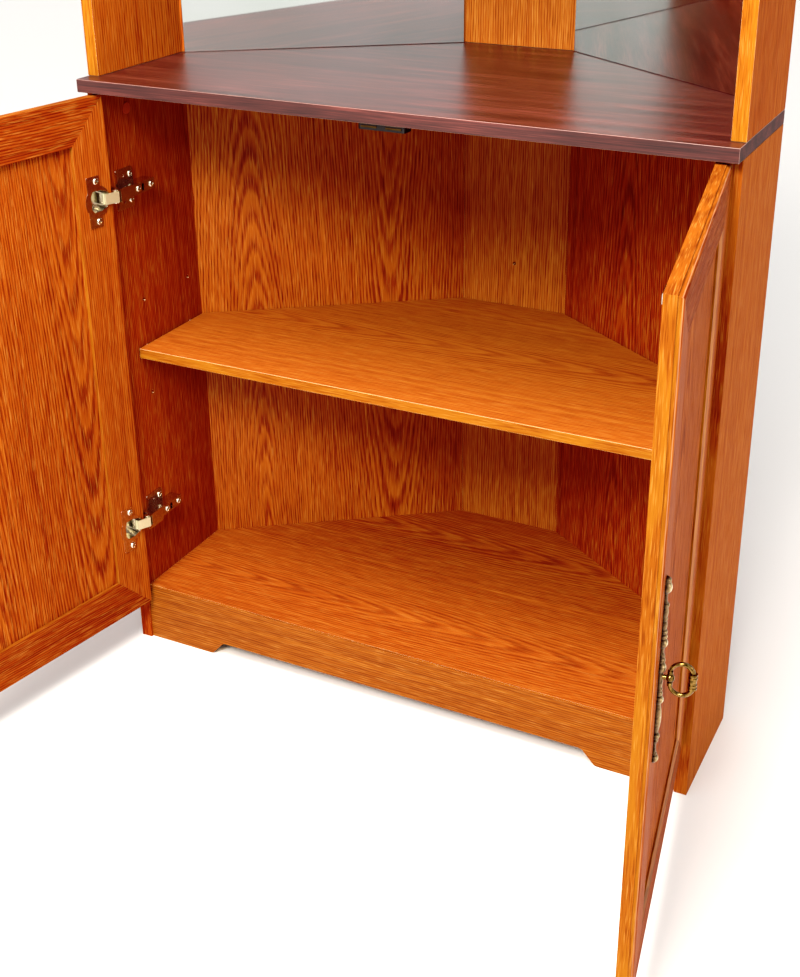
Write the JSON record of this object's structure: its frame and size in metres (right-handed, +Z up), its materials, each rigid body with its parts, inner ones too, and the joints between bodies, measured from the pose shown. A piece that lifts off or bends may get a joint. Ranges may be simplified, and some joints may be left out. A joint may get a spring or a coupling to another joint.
{
  "type": "corner cabinet",
  "caption": "Corner cabinet with two hinged doors, a loose shelf, a counter, a bracket-foot plinth and an open shelved upper section.",
  "frame": {"origin": "on the floor, under the middle of the corner panel's bottom edge", "axes": "+Z up, +X to the right seen from the front, +Y towards the room corner; the doors open towards -Y"},
  "size_m": [0.924, 0.7634, 1.8],
  "materials": {
    "antique_brass": "antiqued, polished",
    "bronze_strip": "oxidised strip",
    "black_plastic": "satin moulded",
    "brown_plastic": "satin moulded",
    "nickel_plate": "bright nickel plate",
    "walnut_board": "dark stained, satin lacquer",
    "oak_door": "oak-look foil, satin",
    "oak_side": "oak-look laminate, satin",
    "oak_back": "oak-look laminate, satin",
    "oak_plinth": "oak-look laminate, satin",
    "oak_shelf": "oak-look laminate with banded front edge, satin",
    "mirror_glass": "silvered float glass, ground edges"
  },
  "bodies": {
    "cabinet": {"back_panel_left": "oak_back", "back_panel_right": "oak_back", "cam_covers": "brown_plastic", "catch_pole_plates": "bronze_strip", "corner_panel": "oak_back", "counter_top": "walnut_board", "floor_board": "oak_shelf", "hinge_arm_lower_left": "nickel_plate", "hinge_arm_lower_right": "nickel_plate", "hinge_arm_screws": "nickel_plate", "hinge_arm_upper_left": "nickel_plate", "hinge_arm_upper_right": "nickel_plate", "hinge_plate_lower_left": "nickel_plate", "hinge_plate_lower_right": "nickel_plate", "hinge_plate_screws": "nickel_plate", "hinge_plate_upper_left": "nickel_plate", "hinge_plate_upper_right": "nickel_plate", "magnetic_catch": "black_plastic", "mirror_panes": "mirror_glass", "plinth": "oak_plinth", "shelf_supports": "nickel_plate", "side_panel_left": "oak_side", "side_panel_right": "oak_side", "upper_back_panel_left": "oak_back", "upper_back_panel_right": "oak_back", "upper_corner_panel": "oak_back", "upper_shelf_1": "oak_shelf", "upper_shelf_2": "oak_shelf", "upper_side_left": "oak_side", "upper_side_right": "oak_side", "upper_top": "walnut_board"},
    "left_hinge_links": {"hinge_link_lower_left": "nickel_plate", "hinge_link_upper_left": "nickel_plate"},
    "left_door": {"door_cup_screws_left": "nickel_plate", "door_panel_left": "oak_door", "door_pull_backplate_left": "antique_brass", "door_pull_post_left": "antique_brass", "door_rail_bottom_left": "oak_door", "door_rail_top_left": "oak_door", "door_stile_free_left": "oak_door", "door_stile_hinge_left": "oak_door", "door_strike_plate_left": "nickel_plate", "hinge_cup_lower_left": "nickel_plate", "hinge_cup_upper_left": "nickel_plate"},
    "left_pull_ring": {"door_pull_ring_left": "antique_brass"},
    "right_hinge_links": {"hinge_link_lower_right": "nickel_plate", "hinge_link_upper_right": "nickel_plate"},
    "right_door": {"door_cup_screws_right": "nickel_plate", "door_panel_right": "oak_door", "door_pull_backplate_right": "antique_brass", "door_pull_post_right": "antique_brass", "door_rail_bottom_right": "oak_door", "door_rail_top_right": "oak_door", "door_stile_free_right": "oak_door", "door_stile_hinge_right": "oak_door", "door_strike_plate_right": "nickel_plate", "hinge_cup_lower_right": "nickel_plate", "hinge_cup_upper_right": "nickel_plate"},
    "right_pull_ring": {"door_pull_ring_right": "antique_brass"},
    "shelf": {"base_shelf": "oak_shelf"}
  },
  "joints": [
    {"name": "left_link_turn", "type": "hinge", "parent": "cabinet", "child": "left_hinge_links", "pos_m": [-0.354, -0.38231, 0.619], "axis": [0, 0, 1], "range_deg": [-50.05, 2.71]},
    {"name": "left_door_swing", "type": "hinge", "parent": "left_hinge_links", "child": "left_door", "pos_m": [-0.36064, -0.39567, 0.619], "axis": [0, 0, 1], "range_deg": [-7.96, 149.7]},
    {"name": "left_ring_swing", "type": "hinge", "parent": "left_door", "child": "left_pull_ring", "pos_m": [-0.4404, -0.73052, 0.404], "axis": [0, 0, 1], "range_deg": [-75, 75]},
    {"name": "right_link_turn", "type": "hinge", "parent": "cabinet", "child": "right_hinge_links", "pos_m": [0.354, -0.38231, 0.619], "axis": [0, 0, 1], "range_deg": [-2.71, 50.05]},
    {"name": "right_door_swing", "type": "hinge", "parent": "right_hinge_links", "child": "right_door", "pos_m": [0.36064, -0.39567, 0.619], "axis": [0, 0, 1], "range_deg": [-149.7, 7.96]},
    {"name": "right_ring_swing", "type": "hinge", "parent": "right_door", "child": "right_pull_ring", "pos_m": [0.4404, -0.73052, 0.404], "axis": [0, 0, 1], "range_deg": [-75, 75]},
    {"name": "shelf_lift", "type": "slide", "parent": "cabinet", "child": "shelf", "axis": [0, 0, 1], "range_m": [0, 0.03]}
  ],
  "couplings": [
    {"joint": "left_link_turn", "follows": "left_door_swing", "ratio": -0.334},
    {"joint": "right_link_turn", "follows": "right_door_swing", "ratio": -0.334}
  ]
}
